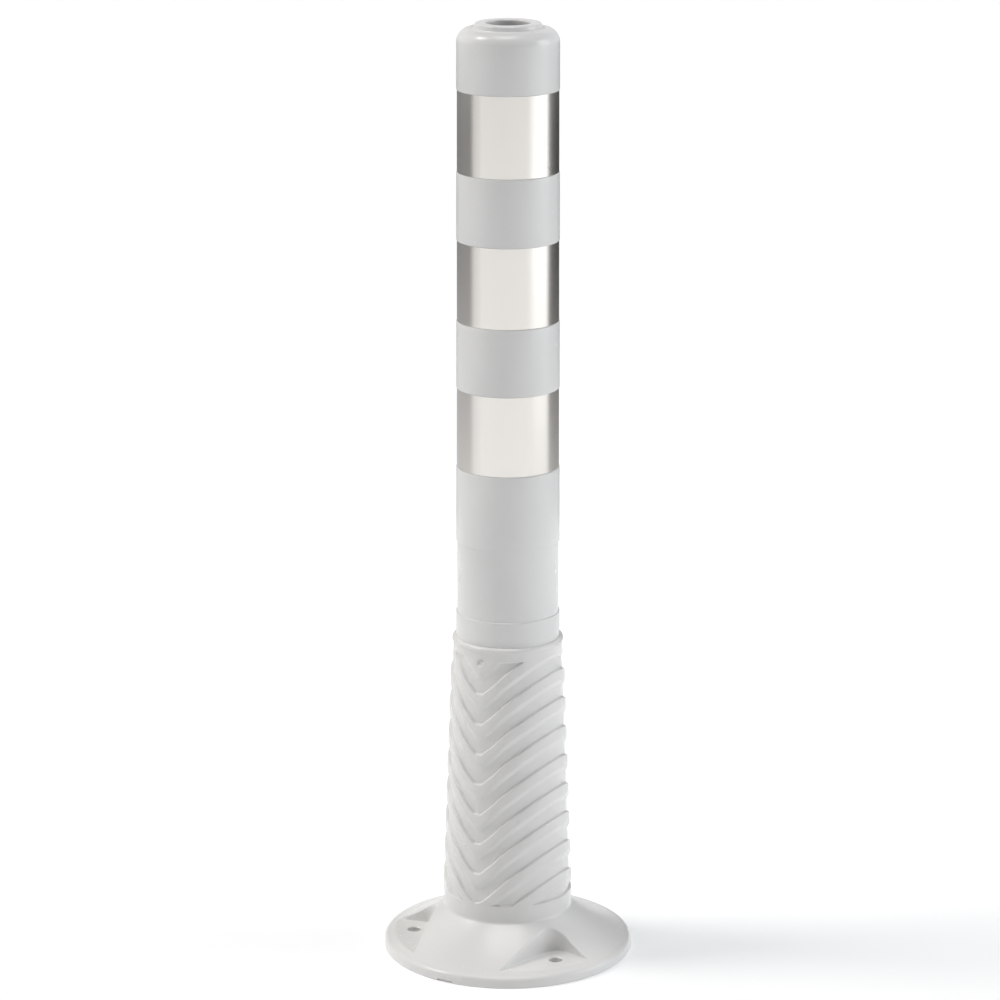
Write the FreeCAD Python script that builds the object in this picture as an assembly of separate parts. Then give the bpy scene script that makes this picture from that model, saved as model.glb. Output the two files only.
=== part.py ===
"""Flexible delineator post: a hollow elastic foot, a plug-in tube and three reflective bands.

Millimetres, +Z up. The origin is the centre of the flange's underside. The YZ plane is the
plane in which the chevron grooves of the foot come to their points, front (-Y) and back (+Y).
"""
import FreeCAD, Part
import math
import os

# ---------------------------------------------------------------- driving dimensions
TOTAL_HEIGHT = 750.0

# flange of the foot
FLANGE_R = 100.0
RIM_TOP_Z = 9.0
RIM_EDGE_R = 4.0
BELL_TOP = (55.0, 33.0)
BELL_MIDDLE = (75.0, 19.4)

# ribbed cone of the foot: its outline from the flange up to the neck under the collar's lip
CONE_OUTLINE = [(51.2, 46.0), (51.75, 56.0), (45.3, 237.0), (43.3, 252.0), (43.2, 259.0)]
NECK_FILLET_R = 3.5
COLLAR_TOP_Z = 262.5
COLLAR_R = 44.1
COLLAR_EDGE_R = 1.2
CAVITY_BOTTOM_R = 46.0
CAVITY_TOP = (40.0, 190.0)
SEAT_Z = 205.0
SEAT_INNER_R = 34.5
SEAT_THICKNESS = 5.0
SOCKET_R = 39.5

# chevron grooves round the cone
GROOVE_PITCH = 24.85
GROOVE_TOP_APEX_Z = 247.8
GROOVE_COUNT = 11
GROOVE_RISE = 0.893
GROOVE_HEIGHT = 14.0
GROOVE_DEPTH = 2.0
GROOVE_FIELD_Z = (50.0, 252.0)
CUTTER_REACH = 65.0

# bolt holes, the pocket round each, and the notch under the front of the rim
BOLT_CIRCLE_R = 76.0
BOLT_AZIMUTHS_DEG = (-60.0, 60.0, 180.0)
BOLT_HOLE_R = 5.25
POCKET_FLOOR_Z = 11.0
POCKET_CORNER_R = 14.0
SIDE_POCKET_CORNER = (52.9, -16.5)
SIDE_POCKET_LONG_WALL_DEG = -10.5
SIDE_POCKET_SHORT_WALL_DEG = 74.5
REAR_POCKET_CORNER = (0.0, 54.5)
REAR_POCKET_HALF_ANGLE_DEG = 45.0
POCKET_REACH = 75.0
NOTCH_WIDTH = 14.0
NOTCH_HEIGHT = 2.4
NOTCH_DEPTH = 5.0

# tube
TUBE_R_AT_COLLAR = 41.1
TUBE_R_AT_TOP = 39.76
TUBE_BORE_R = 36.0
SHOULDER_R = 11.0
SHOULDER_TOP_Z = 746.3
CROWN_THICKNESS = 4.0
LIP_GROOVE_R = (26.4, 28.6)
LIP_GROOVE_DEPTH = 0.6
LIP_OUTER_R = 25.6
LIP_EDGE_R = 1.8
NECK_HOLE_R = 17.0

# recesses of the tube, and the films in the upper three
BAND_TOP_Z = 699.0
BAND_PITCH = 117.0
BAND_HEIGHT = 64.0
BAND_NAMES = ("upper", "middle", "lower")
RECESS_DEPTH = 0.9
FILM_THICKNESS = 0.4
SPARE_RECESS_Z = (283.0, 341.0)

FULL_TURN = 360.0


# ---------------------------------------------------------------- shared geometry
def point(r, z):
    """A point of a turned outline: radius and height in the XZ plane."""
    return FreeCAD.Vector(r, 0.0, z)


def line(start, end):
    return Part.LineSegment(point(*start), point(*end)).toShape()


def arc(start, middle, end):
    return Part.Arc(point(*start), point(*middle), point(*end)).toShape()


def arc_middle(centre, radius, angle_deg):
    angle = math.radians(angle_deg)
    return (centre[0] + radius * math.cos(angle), centre[1] + radius * math.sin(angle))


def turned(edges):
    """The solid that a closed outline sweeps round the Z axis."""
    face = Part.Face(Part.Wire(edges))
    return face.revolve(FreeCAD.Vector(0, 0, 0), FreeCAD.Vector(0, 0, 1), FULL_TURN)


def turned_polygon(corners):
    return turned([line(a, b) for a, b in zip(corners, corners[1:] + corners[:1])])


def cone_r(z):
    """Outer radius of the ribbed cone between its grooves."""
    for (low_r, low_z), (high_r, high_z) in zip(CONE_OUTLINE, CONE_OUTLINE[1:]):
        if z <= high_z:
            break
    return low_r + (high_r - low_r) * (z - low_z) / (high_z - low_z)


def tube_r(z):
    """Outer radius of the plain rings of the tube, which tapers slightly upwards."""
    top_z = SHOULDER_TOP_Z - SHOULDER_R
    share = (z - COLLAR_TOP_Z) / (top_z - COLLAR_TOP_Z)
    return TUBE_R_AT_COLLAR + share * (TUBE_R_AT_TOP - TUBE_R_AT_COLLAR)


def recess_r(z):
    return tube_r(z) - RECESS_DEPTH


# ---------------------------------------------------------------- foot
def neck_fillet():
    """Ends and middle of the concave fillet between the upright cone and the flange's bell."""
    bell_fall = math.atan2(BELL_MIDDLE[1] - BELL_TOP[1], BELL_MIDDLE[0] - BELL_TOP[0])
    upright = math.pi / 2
    corner_r = CONE_OUTLINE[0][0]
    corner_z = BELL_TOP[1] + (corner_r - BELL_TOP[0]) * math.tan(bell_fall)
    half_opening = (upright - bell_fall) / 2
    reach = NECK_FILLET_R / math.tan(half_opening)
    gap = NECK_FILLET_R / math.sin(half_opening) - NECK_FILLET_R
    bisector = (upright + bell_fall) / 2
    on_cone = (corner_r, corner_z + reach)
    middle = (corner_r + gap * math.cos(bisector), corner_z + gap * math.sin(bisector))
    on_bell = (corner_r + reach * math.cos(bell_fall), corner_z + reach * math.sin(bell_fall))
    return on_cone, middle, on_bell


def foot_blank():
    """The turned body of the foot: flange, cone, collar and the hollow inside."""
    on_cone, fillet_middle, on_bell = neck_fillet()
    rim_centre = (FLANGE_R - RIM_EDGE_R, RIM_TOP_Z - RIM_EDGE_R)
    rim_inner = (rim_centre[0], RIM_TOP_Z)
    rim_outer = (FLANGE_R, rim_centre[1])
    seat_under_z = SEAT_Z - SEAT_THICKNESS
    lip_centre = (COLLAR_R - COLLAR_EDGE_R, COLLAR_TOP_Z - COLLAR_EDGE_R)
    lip_outer = (COLLAR_R, lip_centre[1])
    lip_inner = (lip_centre[0], COLLAR_TOP_Z)
    cone = [on_cone] + CONE_OUTLINE + [(COLLAR_R, CONE_OUTLINE[-1][1]), lip_outer]
    return turned([
        line((CAVITY_BOTTOM_R, 0), (FLANGE_R, 0)),
        line((FLANGE_R, 0), rim_outer),
        arc(rim_outer, arc_middle(rim_centre, RIM_EDGE_R, 45), rim_inner),
        arc(rim_inner, BELL_MIDDLE, on_bell),
        arc(on_bell, fillet_middle, on_cone),
        *[line(a, b) for a, b in zip(cone, cone[1:])],
        arc(lip_outer, arc_middle(lip_centre, COLLAR_EDGE_R, 45), lip_inner),
        line(lip_inner, (SOCKET_R, COLLAR_TOP_Z)),
        line((SOCKET_R, COLLAR_TOP_Z), (SOCKET_R, SEAT_Z)),
        line((SOCKET_R, SEAT_Z), (SEAT_INNER_R, SEAT_Z)),
        line((SEAT_INNER_R, SEAT_Z), (SEAT_INNER_R, seat_under_z)),
        line((SEAT_INNER_R, seat_under_z), CAVITY_TOP),
        line(CAVITY_TOP, (CAVITY_BOTTOM_R, 0)),
    ])


def chevron(apex_z):
    """A V-shaped bar through the cone, its point on the YZ plane at apex_z."""
    reach = CUTTER_REACH
    corners = [
        (0, apex_z),
        (reach, apex_z + GROOVE_RISE * reach),
        (reach, apex_z + GROOVE_RISE * reach + GROOVE_HEIGHT),
        (0, apex_z + GROOVE_HEIGHT),
        (-reach, apex_z + GROOVE_RISE * reach + GROOVE_HEIGHT),
        (-reach, apex_z + GROOVE_RISE * reach),
    ]
    outline = [FreeCAD.Vector(x, -reach, z) for x, z in corners]
    face = Part.Face(Part.makePolygon(outline + outline[:1]))
    return face.extrude(FreeCAD.Vector(0, 2 * reach, 0))


def groove_field():
    """The ring of material that the grooves may cut: outside the groove floors."""
    low, high = GROOVE_FIELD_Z
    heights = [low] + [z for r, z in CONE_OUTLINE if low < z < high] + [high]
    floor = [(cone_r(z) - GROOVE_DEPTH, z) for z in heights]
    return turned_polygon([(CUTTER_REACH, high), (CUTTER_REACH, low)] + floor)


def plan_direction(azimuth_deg):
    """Unit vector in plan, with azimuth counted from -Y towards +X."""
    angle = math.radians(azimuth_deg)
    return FreeCAD.Vector(math.sin(angle), -math.cos(angle), 0)


def pocket(corner, first_deg, second_deg):
    """A flat-floored pocket with two straight walls that meet in a rounded corner."""
    tip = FreeCAD.Vector(corner[0], corner[1], POCKET_FLOOR_Z)
    first = plan_direction(first_deg)
    second = plan_direction(second_deg)
    half = first.getAngle(second) / 2
    bisector = (first + second).normalize()
    setback = POCKET_CORNER_R / math.tan(half)
    start = tip + first * setback
    end = tip + second * setback
    middle = tip + bisector * (POCKET_CORNER_R / math.sin(half) - POCKET_CORNER_R)
    far_first = tip + first * POCKET_REACH
    far_second = tip + second * POCKET_REACH
    far = tip + (first + second) * POCKET_REACH
    edges = [
        Part.LineSegment(far_first, start).toShape(),
        Part.Arc(start, middle, end).toShape(),
        Part.LineSegment(end, far_second).toShape(),
        Part.LineSegment(far_second, far).toShape(),
        Part.LineSegment(far, far_first).toShape(),
    ]
    return Part.Face(Part.Wire(edges)).extrude(FreeCAD.Vector(0, 0, BELL_TOP[1]))


def pockets():
    side = pocket(SIDE_POCKET_CORNER, SIDE_POCKET_LONG_WALL_DEG, SIDE_POCKET_SHORT_WALL_DEG)
    other_side = side.mirror(FreeCAD.Vector(0, 0, 0), FreeCAD.Vector(1, 0, 0))
    rear = pocket(
        REAR_POCKET_CORNER,
        180.0 - REAR_POCKET_HALF_ANGLE_DEG,
        180.0 + REAR_POCKET_HALF_ANGLE_DEG,
    )
    return [side, other_side, rear]


def bolt_holes():
    holes = []
    for azimuth in BOLT_AZIMUTHS_DEG:
        centre = plan_direction(azimuth) * BOLT_CIRCLE_R
        holes.append(Part.makeCylinder(BOLT_HOLE_R, BELL_TOP[1], centre))
    return holes


def rim_notch():
    corner = FreeCAD.Vector(-NOTCH_WIDTH / 2, -FLANGE_R, 0)
    return Part.makeBox(NOTCH_WIDTH, NOTCH_DEPTH, NOTCH_HEIGHT, corner)


def flexible_foot():
    body = foot_blank()
    field = groove_field()
    for index in range(GROOVE_COUNT):
        bar = chevron(GROOVE_TOP_APEX_Z - GROOVE_PITCH * index)
        body = body.cut(bar.common(field))
    for cutter in pockets() + bolt_holes() + [rim_notch()]:
        body = body.cut(cutter)
    return body


# ---------------------------------------------------------------- tube
def recess_spans():
    """Lower and upper height of each recess, from the lowest up."""
    spans = [SPARE_RECESS_Z]
    for index in reversed(range(len(BAND_NAMES))):
        top = BAND_TOP_Z - BAND_PITCH * index
        spans.append((top - BAND_HEIGHT, top))
    return spans


def tube_outside():
    """Outline of the outside of the tube, from the end of its spigot to the shoulder."""
    corners = [(SOCKET_R, SEAT_Z), (SOCKET_R, COLLAR_TOP_Z), (TUBE_R_AT_COLLAR, COLLAR_TOP_Z)]
    for low, high in recess_spans():
        corners += [(tube_r(low), low), (recess_r(low), low), (recess_r(high), high), (tube_r(high), high)]
    corners.append((TUBE_R_AT_TOP, SHOULDER_TOP_Z - SHOULDER_R))
    return [line(a, b) for a, b in zip(corners, corners[1:])]


def post_tube():
    """Blow-moulded tube with a round shoulder and an open neck with a raised lip."""
    shoulder = (TUBE_R_AT_TOP - SHOULDER_R, SHOULDER_TOP_Z - SHOULDER_R)
    groove_in, groove_out = LIP_GROOVE_R
    groove_middle = ((groove_in + groove_out) / 2, SHOULDER_TOP_Z - LIP_GROOVE_DEPTH)
    lip_out = (LIP_OUTER_R - LIP_EDGE_R, TOTAL_HEIGHT - LIP_EDGE_R)
    lip_in = (NECK_HOLE_R + LIP_EDGE_R, TOTAL_HEIGHT - LIP_EDGE_R)
    ceiling_z = SHOULDER_TOP_Z - CROWN_THICKNESS
    inner_r = SHOULDER_R - CROWN_THICKNESS
    inner = (TUBE_BORE_R - inner_r, ceiling_z - inner_r)
    edges = tube_outside()
    edges += [
        arc((TUBE_R_AT_TOP, shoulder[1]), arc_middle(shoulder, SHOULDER_R, 45), (shoulder[0], SHOULDER_TOP_Z)),
        line((shoulder[0], SHOULDER_TOP_Z), (groove_out, SHOULDER_TOP_Z)),
        arc((groove_out, SHOULDER_TOP_Z), groove_middle, (groove_in, SHOULDER_TOP_Z)),
        line((groove_in, SHOULDER_TOP_Z), (LIP_OUTER_R, lip_out[1])),
        arc((LIP_OUTER_R, lip_out[1]), arc_middle(lip_out, LIP_EDGE_R, 45), (lip_out[0], TOTAL_HEIGHT)),
        line((lip_out[0], TOTAL_HEIGHT), (lip_in[0], TOTAL_HEIGHT)),
        arc((lip_in[0], TOTAL_HEIGHT), arc_middle(lip_in, LIP_EDGE_R, 135), (NECK_HOLE_R, lip_in[1])),
        line((NECK_HOLE_R, lip_in[1]), (NECK_HOLE_R, ceiling_z)),
        line((NECK_HOLE_R, ceiling_z), (inner[0], ceiling_z)),
        arc((inner[0], ceiling_z), arc_middle(inner, inner_r, 45), (TUBE_BORE_R, inner[1])),
        line((TUBE_BORE_R, inner[1]), (TUBE_BORE_R, SEAT_Z)),
        line((TUBE_BORE_R, SEAT_Z), (SOCKET_R, SEAT_Z)),
    ]
    return turned(edges)


# ---------------------------------------------------------------- reflective bands
def reflective_band(index):
    """A ring of film that lies on the floor of one recess."""
    high = BAND_TOP_Z - BAND_PITCH * index
    low = high - BAND_HEIGHT
    return turned_polygon([
        (recess_r(low), low),
        (recess_r(low) + FILM_THICKNESS, low),
        (recess_r(high) + FILM_THICKNESS, high),
        (recess_r(high), high),
    ])


def main():
    os.makedirs("parts", exist_ok=True)
    nodes = {"flexible_foot": flexible_foot(), "post_tube": post_tube()}
    for index, name in enumerate(BAND_NAMES):
        nodes["reflective_band_" + name] = reflective_band(index)
    for name, shape in nodes.items():
        shape.exportStep("parts/" + name + ".step")
        print(name, "valid", shape.isValid(), "solids", len(shape.Solids), "cm3", round(shape.Volume / 1000, 1))


main()
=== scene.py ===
import math

import bmesh
import bpy
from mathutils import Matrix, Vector


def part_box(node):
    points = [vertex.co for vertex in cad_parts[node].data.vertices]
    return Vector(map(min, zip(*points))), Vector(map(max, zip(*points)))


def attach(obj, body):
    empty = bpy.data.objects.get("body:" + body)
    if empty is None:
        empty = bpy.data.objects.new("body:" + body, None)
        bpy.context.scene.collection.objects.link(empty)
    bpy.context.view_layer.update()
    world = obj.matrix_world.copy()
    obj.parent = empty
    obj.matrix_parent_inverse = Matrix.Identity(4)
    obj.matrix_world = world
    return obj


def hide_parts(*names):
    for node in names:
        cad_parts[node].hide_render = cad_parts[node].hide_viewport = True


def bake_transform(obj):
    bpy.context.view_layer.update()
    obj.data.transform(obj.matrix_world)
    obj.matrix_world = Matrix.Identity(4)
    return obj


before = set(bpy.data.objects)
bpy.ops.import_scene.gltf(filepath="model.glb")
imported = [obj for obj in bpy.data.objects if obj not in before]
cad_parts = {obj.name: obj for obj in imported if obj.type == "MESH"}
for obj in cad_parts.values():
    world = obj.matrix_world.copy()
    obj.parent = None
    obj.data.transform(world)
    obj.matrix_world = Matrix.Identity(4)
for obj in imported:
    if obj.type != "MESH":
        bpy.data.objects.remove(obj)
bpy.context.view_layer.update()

# Camera: a long lens a little above the top of the post, standing to the right of the plane in
# which the grooves come to their points and looking down at the foot.
CAMERA_PLACE = (1.41565, -2.46438, 1.13678)
CAMERA_PITCH = math.radians(74.95)
CAMERA_AZIMUTH = math.radians(30.0)

lens = bpy.data.cameras.new("long_lens")
lens.lens = 134.28
lens.sensor_width = 36.0
camera = bpy.data.objects.new("camera", lens)
bpy.context.scene.collection.objects.link(camera)
camera.location = CAMERA_PLACE
camera.rotation_euler = (CAMERA_PITCH, 0.0, CAMERA_AZIMUTH)
bpy.context.scene.camera = camera
bpy.context.scene.view_settings.view_transform = "Standard"


# Flexible foot: one moulding of white elastomer. A wide flange with three bolt pockets runs up
# into a hollow cone with chevron grooves, which bends when a vehicle hits the post, and ends in
# the socket and lip that grip the tube.
foot_low, foot_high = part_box("flexible_foot")
FLANGE_RADIUS = foot_high.x
COLLAR_TOP = foot_high.z
TURNS = 256
SHARP_DEG = 32.0

UNDERSIDE_ROWS = (0.060, 0.066, 0.086, 0.0985)
UNDERSIDE_CHAMFER = 0.0004
RIM_TOP = 0.009
RIM_ROUND = 0.004
BELL_MIDDLE = (0.075, 0.0194)
BELL_TOP = (0.055, 0.033)
NECK_FILLET = 0.0035
CONE_FOOT = (0.0512, 0.046)
CONE_OUTLINE = [CONE_FOOT, (0.05175, 0.056), (0.0453, 0.237), (0.0433, 0.252), (0.0432, 0.2588)]
FIELD_LOW, FIELD_HIGH = 0.0496, 0.2522
FIELD_EDGE = [(0.0, 0.0), (0.0003, 0.25), (0.0007, 0.70), (0.0012, 0.95), (0.0018, 1.0)]
LIP_RADIUS = 0.0441
LIP_ROUND = 0.0028
LIP_STEP = [(0.0432, 0.2584), (0.0434, 0.2588), (0.04385, 0.2589), (LIP_RADIUS, 0.2592)]
SOCKET_RADIUS = 0.0395
SOCKET_EDGE = 0.00015
SEAT_HEIGHT = 0.205
SEAT_RADIUS = 0.0345
SEAT_THICKNESS = 0.005
CAVITY_TOP = (0.040, 0.190)
CAVITY_BOTTOM = 0.046
CAVITY_ROW_STEP = 0.008
SKIN_REACH = 0.001

GROOVE_PITCH = 0.02485
GROOVE_TOP_APEX = 0.2478
GROOVE_COUNT = 11
GROOVE_RISE = 0.893
APEX_FLAT = 0.0032
APEX_LIFT = 0.0012
APEX_DROP = 0.0016
DROP_END = (0.012, 0.021)
TIP_FADE = 0.003
END_FADE = 0.004
# Height above a groove's lower edge line, and the groove's depth there.
GROOVE_PROFILE = [
    (-0.0007, 0.0),
    (-0.0003, 0.00007),
    (0.0, 0.00028),
    (0.00025, 0.00078),
    (0.00045, 0.00130),
    (0.0007, 0.00172),
    (0.0011, 0.00194),
    (0.0016, 0.0020),
    (0.0103, 0.0020),
    (0.0118, 0.00175),
    (0.0131, 0.00125),
    (0.0144, 0.00062),
    (0.0158, 0.00016),
    (0.0172, 0.0),
]


def arc_points(start, middle, end, count):
    """Points of the circular arc from start to end that passes through middle."""
    (ax, ay), (bx, by), (cx, cy) = start, middle, end
    d = 2 * (ax * (by - cy) + bx * (cy - ay) + cx * (ay - by))
    a2, b2, c2 = ax * ax + ay * ay, bx * bx + by * by, cx * cx + cy * cy
    ox = (a2 * (by - cy) + b2 * (cy - ay) + c2 * (ay - by)) / d
    oy = (a2 * (cx - bx) + b2 * (ax - cx) + c2 * (bx - ax)) / d
    radius = math.hypot(ax - ox, ay - oy)
    first = math.atan2(ay - oy, ax - ox)
    last = math.atan2(cy - oy, cx - ox)
    turn = math.remainder(last - first, 2 * math.pi)
    angles = [first + turn * i / count for i in range(count + 1)]
    return [(ox + radius * math.cos(t), oy + radius * math.sin(t)) for t in angles]


def corner_round(corner, before, after, radius, count):
    """Points of a fillet of the given radius that rounds one corner of an outline."""
    at, one, two = Vector(corner), Vector(before), Vector(after)
    u, v = (one - at).normalized(), (two - at).normalized()
    half = u.angle(v) / 2
    reach = radius / math.tan(half)
    middle = at + (u + v).normalized() * (radius / math.sin(half) - radius)
    return arc_points(at + u * reach, middle, at + v * reach, count)


def rows(start, end, step):
    """Points along a straight run of an outline, without its two ends."""
    count = max(1, round(math.dist(start, end) / step))
    return [
        tuple(a + (b - a) * i / count for a, b in zip(start, end)) for i in range(1, count)
    ]


def turned_shell(outline, turns):
    """A closed outline in the XZ plane, spun once round the post's axis."""
    bm = bmesh.new()
    points = [bm.verts.new((r, 0.0, z)) for r, z in outline]
    edges = [bm.edges.new(pair) for pair in zip(points, points[1:] + points[:1])]
    bmesh.ops.spin(
        bm, geom=points + edges, cent=(0, 0, 0), axis=(0, 0, 1), angle=2 * math.pi, steps=turns,
        use_merge=True,
    )
    bmesh.ops.remove_doubles(bm, verts=bm.verts, dist=1e-7)
    bmesh.ops.recalc_face_normals(bm, faces=bm.faces)
    return bm


def mesh_piece(name, bm, material, sharp_deg):
    """A finished bmesh as an object at the origin, smooth but for its sharp edges."""
    mesh = bpy.data.meshes.new(name)
    bm.to_mesh(mesh)
    bm.free()
    mesh.shade_smooth()
    mesh.set_sharp_from_angle(angle=math.radians(sharp_deg))
    mesh.materials.append(material)
    piece = bpy.data.objects.new(name, mesh)
    bpy.context.scene.collection.objects.link(piece)
    return piece


rim_in = (FLANGE_RADIUS - RIM_ROUND, RIM_TOP)
rim_out = (FLANGE_RADIUS, RIM_TOP - RIM_ROUND)
rim_turn = RIM_ROUND * math.sqrt(0.5)
bell_slope = (BELL_MIDDLE[1] - BELL_TOP[1]) / (BELL_MIDDLE[0] - BELL_TOP[0])
bell_corner = (CONE_FOOT[0], BELL_TOP[1] + (CONE_FOOT[0] - BELL_TOP[0]) * bell_slope)
neck = corner_round(bell_corner, BELL_MIDDLE, CONE_OUTLINE[1], NECK_FILLET, 8)
bell = arc_points(rim_in, BELL_MIDDLE, neck[0], 34)
edge_rows = [step for step, share in FIELD_EDGE]
EDGE_WIDTH = edge_rows[-1]


def cone_radius(z):
    """Outer radius of the lands between the grooves."""
    for (low_r, low_z), (high_r, high_z) in zip(CONE_OUTLINE, CONE_OUTLINE[1:]):
        if z <= high_z:
            break
    return low_r + (high_r - low_r) * (z - low_z) / (high_z - low_z)


cone_heights = sorted(
    [FIELD_LOW + z for z in edge_rows] + [FIELD_HIGH - z for z in edge_rows]
    + [z for r, z in CONE_OUTLINE[1:-1] if FIELD_LOW + EDGE_WIDTH < z < FIELD_HIGH - EDGE_WIDTH]
)
lip_corner = (LIP_RADIUS, COLLAR_TOP)
underside = (CAVITY_BOTTOM, *UNDERSIDE_ROWS, FLANGE_RADIUS - UNDERSIDE_CHAMFER)
foot_outline = [(r, 0.0) for r in underside] + [(FLANGE_RADIUS, UNDERSIDE_CHAMFER)]
foot_outline += arc_points(rim_out, (rim_in[0] + rim_turn, rim_out[1] + rim_turn), rim_in, 6)
foot_outline += bell[1:] + neck[1:]
foot_outline += [(cone_radius(z), z) for z in cone_heights]
foot_outline += LIP_STEP
foot_outline += corner_round(lip_corner, LIP_STEP[-1], (SOCKET_RADIUS, COLLAR_TOP), LIP_ROUND, 8)
foot_outline += [
    (SOCKET_RADIUS + SOCKET_EDGE, COLLAR_TOP),
    (SOCKET_RADIUS, COLLAR_TOP - SOCKET_EDGE),
    (SOCKET_RADIUS, SEAT_HEIGHT),
    (SEAT_RADIUS, SEAT_HEIGHT),
    (SEAT_RADIUS, SEAT_HEIGHT - SEAT_THICKNESS),
    CAVITY_TOP,
]
foot_outline += rows(CAVITY_TOP, (CAVITY_BOTTOM, 0.0), CAVITY_ROW_STEP)
foot = turned_shell(foot_outline, TURNS)


def groove_plane(side, height):
    """A point and normal of the sloped plane in which one edge line of a groove lies."""
    return Vector((0, 0, height)), Vector((-GROOVE_RISE * side, 0, 1)).normalized()


for side in (-1, 1):
    waiting = [
        f for f in foot.faces
        if FIELD_LOW < f.calc_center_median().z < FIELD_HIGH
        and f.calc_center_median().x * side > 0
        and f.normal.dot(f.calc_center_median() * Vector((1, 1, 0))) > 0
    ]
    for index in range(GROOVE_COUNT):
        for station, depth in reversed(GROOVE_PROFILE):
            place, normal = groove_plane(side, GROOVE_TOP_APEX - GROOVE_PITCH * index + station)
            edges = {e for f in waiting for e in f.edges}
            verts = {v for f in waiting for v in f.verts}
            cut = bmesh.ops.bisect_plane(
                foot, geom=list(waiting) + list(edges) + list(verts), dist=1e-7, plane_co=place,
                plane_no=normal,
            )
            waiting = [
                g for g in cut["geom"]
                if isinstance(g, bmesh.types.BMFace)
                and (g.calc_center_median() - place).dot(normal) < 0
            ]


def groove_depth(s):
    """Depth of a groove at the height s above its lower edge line."""
    for (low, low_depth), (high, high_depth) in zip(GROOVE_PROFILE, GROOVE_PROFILE[1:]):
        if low <= s <= high:
            return low_depth + (high_depth - low_depth) * (s - low) / (high - low)
    return 0.0


def eased(share):
    """A smooth step from 0 to 1."""
    t = min(1.0, max(0.0, share))
    return t * t * (3 - 2 * t)


def between(table, at):
    """A value read from a table of steps, with straight runs between them."""
    for (low, low_value), (high, high_value) in zip(table, table[1:]):
        if at <= high:
            return low_value + (high_value - low_value) * max(0.0, at - low) / (high - low)
    return table[-1][1]


def line_shift(x):
    """How far the grooves' edge lines lie above a plain V, with a short flat at its point."""
    if x < APEX_FLAT:
        return APEX_LIFT - x * (APEX_LIFT + APEX_DROP) / APEX_FLAT
    start, end = DROP_END
    return -APEX_DROP * (1 - eased((x - start) / (end - start)))


first_station = GROOVE_PROFILE[0][0]
for vert in foot.verts:
    x, y, z = vert.co
    radius = math.hypot(x, y)
    if not FIELD_LOW < z < FIELD_HIGH or radius < cone_radius(z) - SKIN_REACH:
        continue
    rise = z - GROOVE_TOP_APEX - GROOVE_RISE * abs(x) - first_station
    index = -math.floor(rise / GROOVE_PITCH)
    if index >= 1:
        depth = groove_depth(rise + index * GROOVE_PITCH + first_station)
        line_top = GROOVE_TOP_APEX - GROOVE_PITCH * index + GROOVE_RISE * abs(x)
        depth *= between(FIELD_EDGE, z - FIELD_LOW) * between(FIELD_EDGE, FIELD_HIGH - z)
        depth *= eased((FIELD_HIGH - line_top) / TIP_FADE)
        vert.co.x *= 1 - depth / radius
        vert.co.y *= 1 - depth / radius
    ends = eased((z - FIELD_LOW) / END_FADE) * eased((FIELD_HIGH - z) / END_FADE)
    vert.co.z += line_shift(abs(x)) * ends

DIMPLE_HEIGHT = 0.2500
DIMPLE_RADIUS = 0.0036
DIMPLE_DEPTH = 0.0014
DIMPLE_FLAT = 0.45
DIMPLE_MARGIN = 1.5


def from_dimple(co):
    """Distance of a point from the dimple's axis."""
    return math.hypot(co.x, co.z - DIMPLE_HEIGHT)


dimple_faces = [
    f for f in foot.faces
    if from_dimple(f.calc_center_median()) < DIMPLE_RADIUS * DIMPLE_MARGIN
    and abs(f.calc_center_median().y) > SOCKET_RADIUS + SKIN_REACH
]
bmesh.ops.subdivide_edges(
    foot, edges=list({e for f in dimple_faces for e in f.edges}), cuts=3, use_grid_fill=True,
)
for vert in foot.verts:
    if from_dimple(vert.co) < DIMPLE_RADIUS and abs(vert.co.y) > SOCKET_RADIUS + SKIN_REACH:
        outwards = from_dimple(vert.co) / DIMPLE_RADIUS
        share = 1 - eased((outwards - DIMPLE_FLAT) / (1 - DIMPLE_FLAT))
        vert.co.y -= math.copysign(DIMPLE_DEPTH * share, vert.co.y)

POCKET_FLOOR = 0.011
POCKET_CORNER_ROUND = 0.014
POCKET_WALL_TILT = math.radians(84)
POCKET_WALL_SHIFT = 0.0018
POCKET_EDGE_ROUND = (0.0015, 0.0018)
WALL_BAND = (-0.0035, 0.0055)
WALL_BAND_RADIUS = 0.0925
BELL_INNER_RADIUS = BELL_TOP[0] - 0.004
# Each pocket's corner in plan, and the directions in which its two walls run from there.
POCKETS = [
    ((0.0529, -0.0165), -10.5, 74.5),
    ((-0.0529, -0.0165), 10.5, -74.5),
    ((0.0, 0.0545), 135.0, 225.0),
]


def plan_direction(azimuth_deg):
    """Unit vector in plan, with azimuth counted from -Y towards +X."""
    angle = math.radians(azimuth_deg)
    return Vector((math.sin(angle), -math.cos(angle)))


def inside_pocket(x, y, corner, first_deg, second_deg):
    """How far a point lies inside a pocket's plan outline, below zero outside it."""
    first, second = plan_direction(first_deg), plan_direction(second_deg)
    place = Vector((x, y)) - Vector(corner)
    half = first.angle(second) / 2
    setback = POCKET_CORNER_ROUND / math.tan(half)
    along = (place.dot(first), place.dot(second))
    if along[0] < setback and along[1] < setback:
        centre = (first + second).normalized() * (POCKET_CORNER_ROUND / math.sin(half))
        return POCKET_CORNER_ROUND - (place - centre).length
    square = [(b - first.dot(second) * a) for a, b in (along, along[::-1])]
    return min(square) / math.sin(2 * half)


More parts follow.
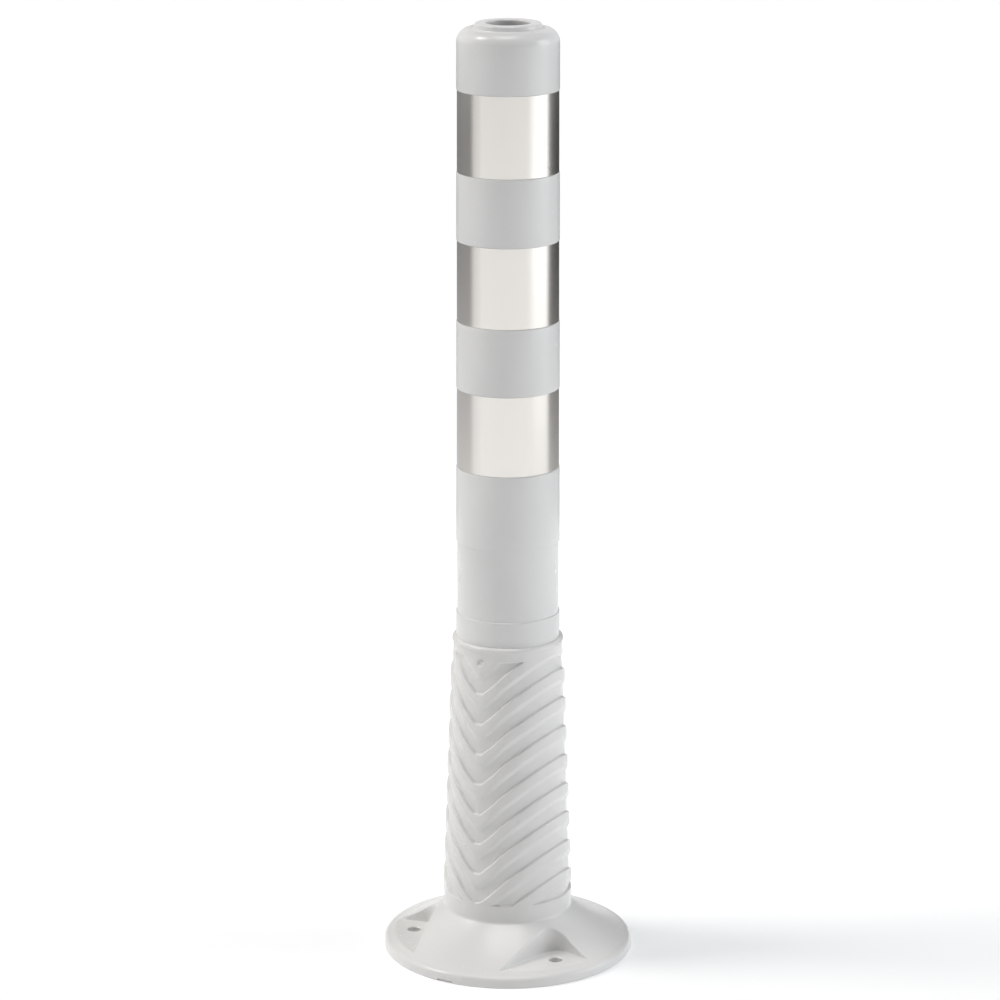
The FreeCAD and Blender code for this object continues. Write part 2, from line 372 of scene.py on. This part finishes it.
def wall_fall(inside, height):
    """Fall of a pocket's wall below the bell, with a round top edge and a round foot."""
    if height <= 0 or inside <= 0:
        return 0.0
    sine, cosine = math.sin(POCKET_WALL_TILT), math.cos(POCKET_WALL_TILT)
    top, foot_round = POCKET_EDGE_ROUND
    shrink = min(1.0, height / ((top + foot_round) * (1 - cosine)))
    top, foot_round = top * shrink, foot_round * shrink
    straight = height - (top + foot_round) * (1 - cosine)
    run = straight * cosine / sine
    if inside < top * sine:
        return top - math.sqrt(top * top - inside * inside)
    if inside < top * sine + run:
        return top * (1 - cosine) + (inside - top * sine) * sine / cosine
    left = (top + foot_round) * sine + run - inside
    if left <= 0:
        return height
    return height - foot_round + math.sqrt(foot_round * foot_round - left * left)


def on_bell(vert):
    """Whether a vertex lies on the flange's slope, where the pockets are."""
    x, y, z = vert.co
    return RIM_TOP < z < CONE_FOOT[1] and math.hypot(x, y) > BELL_INNER_RADIUS


wall_band = []
for face in foot.faces:
    centre = face.calc_center_median()
    if not all(on_bell(v) for v in face.verts):
        continue
    inside = max(inside_pocket(centre.x, centre.y, *pocket) for pocket in POCKETS)
    in_band = WALL_BAND[0] < inside < WALL_BAND[1]
    if in_band and math.hypot(centre.x, centre.y) < WALL_BAND_RADIUS:
        wall_band.append(face)
bmesh.ops.subdivide_edges(
    foot, edges=list({e for f in wall_band for e in f.edges}), cuts=3, use_grid_fill=True,
)
for vert in foot.verts:
    if not on_bell(vert):
        continue
    x, y, z = vert.co
    inside = max(inside_pocket(x, y, *pocket) for pocket in POCKETS)
    vert.co.z -= wall_fall(inside + POCKET_WALL_SHIFT, z - POCKET_FLOOR)

BOLT_CIRCLE = 0.076
BOLT_RADIUS = 0.00525
BOLT_CHAMFER = 0.0006
BOLT_AZIMUTHS = (-60.0, 60.0, 180.0)
DRILL_ENDS = (-0.002, 0.05)
NOTCH_SIZE = (0.014, 0.0022, 0.0020)

cutters = bmesh.new()
for azimuth in BOLT_AZIMUTHS:
    centre = plan_direction(azimuth) * BOLT_CIRCLE
    drill = [
        (0.0, DRILL_ENDS[0]),
        (BOLT_RADIUS, DRILL_ENDS[0]),
        (BOLT_RADIUS, POCKET_FLOOR - BOLT_CHAMFER),
        (BOLT_RADIUS + BOLT_CHAMFER, POCKET_FLOOR),
        (BOLT_RADIUS + BOLT_CHAMFER, DRILL_ENDS[1]),
        (0.0, DRILL_ENDS[1]),
    ]
    points = [cutters.verts.new((centre.x + r, centre.y, z)) for r, z in drill]
    edges = [cutters.edges.new(pair) for pair in zip(points, points[1:])]
    bmesh.ops.spin(
        cutters, geom=points + edges, cent=(centre.x, centre.y, 0), axis=(0, 0, 1),
        angle=2 * math.pi, steps=48, use_merge=True,
    )
notch = bmesh.ops.create_cube(cutters, size=1.0)["verts"]
bmesh.ops.scale(cutters, verts=notch, vec=(NOTCH_SIZE[0], NOTCH_SIZE[1] * 2, NOTCH_SIZE[2] * 2))
bmesh.ops.translate(cutters, verts=notch, vec=(0, -FLANGE_RADIUS, 0))
bmesh.ops.remove_doubles(cutters, verts=cutters.verts, dist=1e-7)
bmesh.ops.recalc_face_normals(cutters, faces=cutters.faces)
cutter_mesh = bpy.data.meshes.new("cutters")
cutters.to_mesh(cutter_mesh)
cutters.free()
cutter_piece = bpy.data.objects.new("cutters", cutter_mesh)
bpy.context.scene.collection.objects.link(cutter_piece)


def node(tree, kind, place, **settings):
    """A shader node with its settings and input values."""
    made = tree.nodes.new(kind)
    made.location = place
    for key, value in settings.items():
        if key in made.inputs.keys():
            made.inputs[key].default_value = value
        else:
            setattr(made, key, value)
    return made


def moulded_white(name, colour, roughness, grain, grain_depth, wave, wave_depth):
    """White moulded plastic: a slightly clouded colour, a fine mould grain and faint waviness."""
    material = bpy.data.materials.new(name)
    material.use_nodes = True
    tree = material.node_tree
    shader = tree.nodes["Principled BSDF"]
    shader.inputs["IOR"].default_value = 1.5
    place = node(tree, "ShaderNodeTexCoord", (-1300, 0))
    cloud = node(tree, "ShaderNodeTexNoise", (-1000, 300), Scale=9.0, Detail=4.0, Roughness=0.55)
    speck = node(tree, "ShaderNodeTexNoise", (-1000, 0), Scale=220.0, Detail=3.0, Roughness=0.6)
    fine = node(tree, "ShaderNodeTexNoise", (-1000, -300), Scale=grain, Detail=2.0, Roughness=0.6)
    broad = node(tree, "ShaderNodeTexNoise", (-1000, -600), Scale=wave, Detail=2.0, Roughness=0.4)
    for texture in (cloud, speck, fine, broad):
        tree.links.new(place.outputs["Object"], texture.inputs["Vector"])
    tint = node(tree, "ShaderNodeValToRGB", (-750, 300))
    tint.color_ramp.elements[0].position = 0.3
    tint.color_ramp.elements[0].color = [c * 0.965 for c in colour] + [1.0]
    tint.color_ramp.elements[1].position = 0.7
    tint.color_ramp.elements[1].color = list(colour) + [1.0]
    tree.links.new(cloud.outputs["Fac"], tint.inputs["Fac"])
    tree.links.new(tint.outputs["Color"], shader.inputs["Base Color"])
    gloss = node(tree, "ShaderNodeMapRange", (-750, 0))
    gloss.inputs["To Min"].default_value = roughness - 0.06
    gloss.inputs["To Max"].default_value = roughness + 0.06
    tree.links.new(speck.outputs["Fac"], gloss.inputs["Value"])
    tree.links.new(gloss.outputs["Result"], shader.inputs["Roughness"])
    wavy = node(tree, "ShaderNodeBump", (-500, -600), Strength=1.0, Distance=wave_depth)
    grainy = node(tree, "ShaderNodeBump", (-250, -400), Strength=1.0, Distance=grain_depth)
    tree.links.new(broad.outputs["Fac"], wavy.inputs["Height"])
    tree.links.new(fine.outputs["Fac"], grainy.inputs["Height"])
    tree.links.new(wavy.outputs["Normal"], grainy.inputs["Normal"])
    tree.links.new(grainy.outputs["Normal"], shader.inputs["Normal"])
    return material


white_elastomer = moulded_white(
    "white_elastomer", (0.745, 0.74, 0.73), 0.25, grain=1400.0, grain_depth=0.00003, wave=60.0,
    wave_depth=0.00025,
)
uncut = mesh_piece("foot_uncut", foot, white_elastomer, SHARP_DEG)
boolean = uncut.modifiers.new("drilled", "BOOLEAN")
boolean.operation = "DIFFERENCE"
boolean.solver = "EXACT"
boolean.object = cutter_piece
bpy.context.view_layer.update()
depsgraph = bpy.context.evaluated_depsgraph_get()
drilled = bpy.data.meshes.new_from_object(uncut.evaluated_get(depsgraph))
drilled.name = "foot_skin"
foot_skin = bpy.data.objects.new("foot_skin", drilled)
bpy.context.scene.collection.objects.link(foot_skin)
drilled.shade_smooth()
drilled.set_sharp_from_angle(angle=math.radians(SHARP_DEG))
bpy.data.objects.remove(uncut)
bpy.data.objects.remove(cutter_piece)

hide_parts("flexible_foot")
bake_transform(foot_skin)


# Tube: blow-moulded white polyurethane, plugged into the foot's socket. Four shallow recesses run
# round it, three of them for film, and a rounded shoulder leads to the open neck with its lip.
tube_low, tube_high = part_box("post_tube")
TUBE_TOP = tube_high.z
TUBE_R_AT_COLLAR = tube_high.x
TUBE_R_AT_TOP = 0.03976
SHOULDER_TOP = 0.7463
SHOULDER_ROUND = 0.011
TUBE_BORE = 0.036
CROWN = 0.004
RECESS_DEPTH = 0.0009
SPARE_RECESS = (0.283, 0.341)
LOWER_LIP_ROUND = 0.0008
UPPER_LIP_ROUND = 0.00025
RECESS_FOOT_ROUND = 0.00008
RECESS_HEAD_ROUND = 0.0002
NECK_GROOVE = (0.0286, 0.0275, 0.0264)
NECK_GROOVE_DEPTH = 0.0006
NECK_RADIUS = 0.0256
NECK_ROUND = 0.0018
MOUTH_RADIUS = 0.017
BORE_ROWS = (0.5, 0.35)
TUBE_SHARP_DEG = 40.0


def tube_radius(z):
    """Outer radius of the plain rings of the tube, which tapers slightly upwards."""
    share = (z - COLLAR_TOP) / (SHOULDER_TOP - SHOULDER_ROUND - COLLAR_TOP)
    return TUBE_R_AT_COLLAR + share * (TUBE_R_AT_TOP - TUBE_R_AT_COLLAR)


band_boxes = {name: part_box("reflective_band_" + name) for name in ("lower", "middle", "upper")}
recesses = [SPARE_RECESS] + [(low.z, high.z) for low, high in band_boxes.values()]

tube_outline = [
    (SOCKET_RADIUS, tube_low.z),
    (SOCKET_RADIUS, COLLAR_TOP),
    (TUBE_R_AT_COLLAR, COLLAR_TOP),
]
for low, high in recesses:
    outer, floor = tube_radius(low), tube_radius(low) - RECESS_DEPTH
    tube_outline += corner_round((outer, low), (outer, 0.0), (floor, low), LOWER_LIP_ROUND, 5)
    tube_outline += corner_round((floor, low), (outer, low), (floor, high), RECESS_FOOT_ROUND, 1)
    outer, floor = tube_radius(high), tube_radius(high) - RECESS_DEPTH
    tube_outline += corner_round((floor, high), (floor, low), (outer, high), RECESS_HEAD_ROUND, 2)
    tube_outline += corner_round(
        (outer, high), (floor, high), (outer, TUBE_TOP), UPPER_LIP_ROUND, 3,
    )
shoulder_low = (TUBE_R_AT_TOP, SHOULDER_TOP - SHOULDER_ROUND)
shoulder_corner = (TUBE_R_AT_TOP, SHOULDER_TOP)
tube_outline += corner_round(
    shoulder_corner, shoulder_low, (0.0, SHOULDER_TOP), SHOULDER_ROUND, 16,
)
groove_out, groove_middle, groove_in = NECK_GROOVE
tube_outline += arc_points(
    (groove_out, SHOULDER_TOP), (groove_middle, SHOULDER_TOP - NECK_GROOVE_DEPTH),
    (groove_in, SHOULDER_TOP), 5,
)
ceiling = SHOULDER_TOP - CROWN
neck_top, mouth_top = (NECK_RADIUS, TUBE_TOP), (MOUTH_RADIUS, TUBE_TOP)
tube_outline += corner_round(neck_top, (groove_in, SHOULDER_TOP), mouth_top, NECK_ROUND, 6)
tube_outline += corner_round(mouth_top, neck_top, (MOUTH_RADIUS, ceiling), NECK_ROUND, 6)
tube_outline += [(MOUTH_RADIUS, ceiling)]
tube_outline += corner_round(
    (TUBE_BORE, ceiling), (MOUTH_RADIUS, ceiling), (TUBE_BORE, tube_low.z),
    SHOULDER_ROUND - CROWN, 8,
)
tube_outline += [(TUBE_BORE, z) for z in (*BORE_ROWS, tube_low.z)]

white_plastic = moulded_white(
    "white_plastic", (0.745, 0.745, 0.74), 0.25, grain=900.0, grain_depth=0.00002, wave=25.0,
    wave_depth=0.0003,
)
tube_shell = turned_shell(tube_outline, TURNS)
tube_skin = mesh_piece("tube_skin", tube_shell, white_plastic, TUBE_SHARP_DEG)
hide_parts("post_tube")
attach(tube_skin, "post")


# Reflective bands: self-adhesive metallised film, one strip wound round the floor of each of the
# upper three recesses, with its free end lapped over the start at the back of the post.
FILM_THICKNESS = 0.0004
FILM_GAP = 0.0003
FILM_EDGE_START = FILM_THICKNESS * 0.8
FILM_EDGE_FALL = FILM_THICKNESS * 0.3
FILM_SHARP_DEG = 30.0
LAP_ANGLE = math.radians(20.0)
LAP_RISE = 0.0002

silver_film = bpy.data.materials.new("silver_film")
silver_film.use_nodes = True
tree = silver_film.node_tree
shader = tree.nodes["Principled BSDF"]
shader.inputs["Metallic"].default_value = 1.0
place = node(tree, "ShaderNodeTexCoord", (-1300, 0))
cloud = node(tree, "ShaderNodeTexNoise", (-1000, 300), Scale=14.0, Detail=3.0)
beads = node(tree, "ShaderNodeTexVoronoi", (-1000, -300), Scale=1600.0)
for texture in (cloud, beads):
    tree.links.new(place.outputs["Object"], texture.inputs["Vector"])
tint = node(tree, "ShaderNodeValToRGB", (-750, 300))
tint.color_ramp.elements[0].color = (0.81, 0.782, 0.745, 1.0)
tint.color_ramp.elements[1].color = (0.865, 0.835, 0.80, 1.0)
tree.links.new(cloud.outputs["Fac"], tint.inputs["Fac"])
tree.links.new(tint.outputs["Color"], shader.inputs["Base Color"])
gloss = node(tree, "ShaderNodeMapRange", (-750, 0))
gloss.inputs["To Min"].default_value = 0.24
gloss.inputs["To Max"].default_value = 0.29
tree.links.new(cloud.outputs["Fac"], gloss.inputs["Value"])
tree.links.new(gloss.outputs["Result"], shader.inputs["Roughness"])
bump = node(tree, "ShaderNodeBump", (-400, -300), Strength=1.0, Distance=0.00001)
tree.links.new(beads.outputs["Distance"], bump.inputs["Height"])
tree.links.new(bump.outputs["Normal"], shader.inputs["Normal"])

for name, (low, high) in band_boxes.items():
    inner = [tube_radius(z) - RECESS_DEPTH for z in (low.z, high.z)]
    bottom, top = low.z + FILM_GAP, high.z - FILM_GAP
    film_outline = [
        (inner[0], bottom),
        (inner[0] + FILM_EDGE_START, bottom),
        (inner[0] + FILM_THICKNESS, bottom + FILM_EDGE_FALL),
        (inner[1] + FILM_THICKNESS, top - FILM_EDGE_FALL),
        (inner[1] + FILM_EDGE_START, top),
        (inner[1], top),
    ]
    strip = turned_shell(film_outline, TURNS)
    for vert in strip.verts:
        behind = math.remainder(math.atan2(vert.co.y, vert.co.x) - math.pi / 2, 2 * math.pi)
        radius = math.hypot(vert.co.x, vert.co.y)
        on_face = radius > tube_radius(vert.co.z) - RECESS_DEPTH + FILM_THICKNESS / 2
        if 0.0 <= behind < LAP_ANGLE and on_face:
            vert.co.xy *= 1 + LAP_RISE / radius
    band = mesh_piece("film_" + name, strip, silver_film, FILM_SHARP_DEG)
    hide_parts("reflective_band_" + name)
    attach(band, "post")


# Stage: a plain pale floor, four soft suns and a dim white surround, and dark and bright cards
# that only reflections see, which give the film the grey edges of polished metal.
FLOOR_SIZE = 30.0
FLAT_SHARP_DEG = 30.0
floor_bm = bmesh.new()
bmesh.ops.create_grid(floor_bm, x_segments=1, y_segments=1, size=FLOOR_SIZE / 2)
bmesh.ops.translate(floor_bm, verts=floor_bm.verts, vec=(0, 0, foot_low.z))
pale = bpy.data.materials.new("pale_floor")
pale.use_nodes = True
pale_shader = pale.node_tree.nodes["Principled BSDF"]
pale_shader.inputs["Base Color"].default_value = (0.92, 0.92, 0.92, 1.0)
pale_shader.inputs["Roughness"].default_value = 0.9
pale_shader.inputs["Emission Color"].default_value = (0.90, 0.95, 1.0, 1.0)
pale_shader.inputs["Emission Strength"].default_value = 0.15
floor = mesh_piece("pale_floor", floor_bm, pale, FLAT_SHARP_DEG)

world = bpy.data.worlds.new("studio")
world.use_nodes = True
world.node_tree.nodes["Background"].inputs["Color"].default_value = (1.0, 1.0, 1.0, 1.0)
world.node_tree.nodes["Background"].inputs["Strength"].default_value = 0.16
bpy.context.scene.world = world


def sun(name, azimuth_deg, elevation_deg, strength, spread_deg, colour):
    """A broad sun that shines on the post from a direction round it."""
    data = bpy.data.lights.new(name, "SUN")
    data.energy = strength
    data.color = colour
    data.angle = math.radians(spread_deg)
    lamp = bpy.data.objects.new(name, data)
    bpy.context.scene.collection.objects.link(lamp)
    flat = plan_direction(azimuth_deg)
    up = math.radians(elevation_deg)
    back = Vector((flat.x * math.cos(up), flat.y * math.cos(up), math.sin(up)))
    lamp.rotation_euler = (-back).to_track_quat("-Z", "Y").to_euler()
    lamp.visible_camera = False


sun("key", -62.0, 50.0, 1.08, 18.0, (1.0, 0.97, 0.93))
sun("left_low", -88.0, 20.0, 0.76, 40.0, (1.0, 1.0, 1.0))
sun("right_low", 120.0, 15.0, 1.35, 40.0, (0.93, 0.97, 1.0))
sun("overhead", 10.0, 82.0, 1.15, 34.0, (1.0, 1.0, 1.0))

CARD_RADIUS = 1.2
CARD_TOP = 0.62
BACKDROP_TOP = 1.7
TONE_HEIGHTS = (0.08, 0.24, 0.36)


def reflection_card(name, first_deg, last_deg, ends, strength, tones):
    """A curved card round the post, in one grey or in greys that change with height."""
    bm = bmesh.new()
    start = plan_direction(first_deg) * CARD_RADIUS
    verts = [bm.verts.new((start.x, start.y, height)) for height in ends]
    edge = bm.edges.new(verts)
    bmesh.ops.spin(
        bm, geom=verts + [edge], cent=(0, 0, 0), axis=(0, 0, 1),
        angle=math.radians(last_deg - first_deg), steps=24,
    )
    paint = bpy.data.materials.new(name)
    paint.use_nodes = True
    tree = paint.node_tree
    emitter = tree.nodes["Principled BSDF"]
    emitter.inputs["Base Color"].default_value = (0.0, 0.0, 0.0, 1.0)
    emitter.inputs["Specular IOR Level"].default_value = 0.0
    emitter.inputs["Emission Strength"].default_value = strength
    if len(tones) == 1:
        emitter.inputs["Emission Color"].default_value = (*tones * 3, 1.0)
    else:
        place = node(tree, "ShaderNodeTexCoord", (-900, 0))
        parts = node(tree, "ShaderNodeSeparateXYZ", (-700, 0))
        fade = node(tree, "ShaderNodeValToRGB", (-500, 0))
        ramp = fade.color_ramp.elements
        while len(ramp) < len(tones):
            ramp.new(0.5)
        for stop, height, grey in zip(ramp, TONE_HEIGHTS, tones):
            stop.position = height
            stop.color = (grey, grey, grey, 1.0)
        tree.links.new(place.outputs["Object"], parts.inputs["Vector"])
        tree.links.new(parts.outputs["Z"], fade.inputs["Fac"])
        tree.links.new(fade.outputs["Color"], emitter.inputs["Emission Color"])
    card = mesh_piece(name, bm, paint, FLAT_SHARP_DEG)
    card.visible_camera = card.visible_diffuse = card.visible_shadow = False
    card.visible_transmission = card.visible_volume_scatter = False


low_ends, high_ends = (0.0, CARD_TOP), (CARD_TOP, BACKDROP_TOP)
reflection_card("left_edge_card", -36.0, -56.0, low_ends, 1.0, (0.92, 0.86, 0.82))
reflection_card("left_card", -56.0, -142.0, low_ends, 1.0, (0.62, 0.40, 0.20))
reflection_card("right_card", 130.0, 200.0, low_ends, 1.0, (0.40, 0.13, 0.02))
reflection_card("side_card", 82.0, 127.0, low_ends, 2.0, (0.38, 0.60, 0.72))
reflection_card("backdrop_card", 130.0, 290.0, high_ends, 1.0, (0.75,))
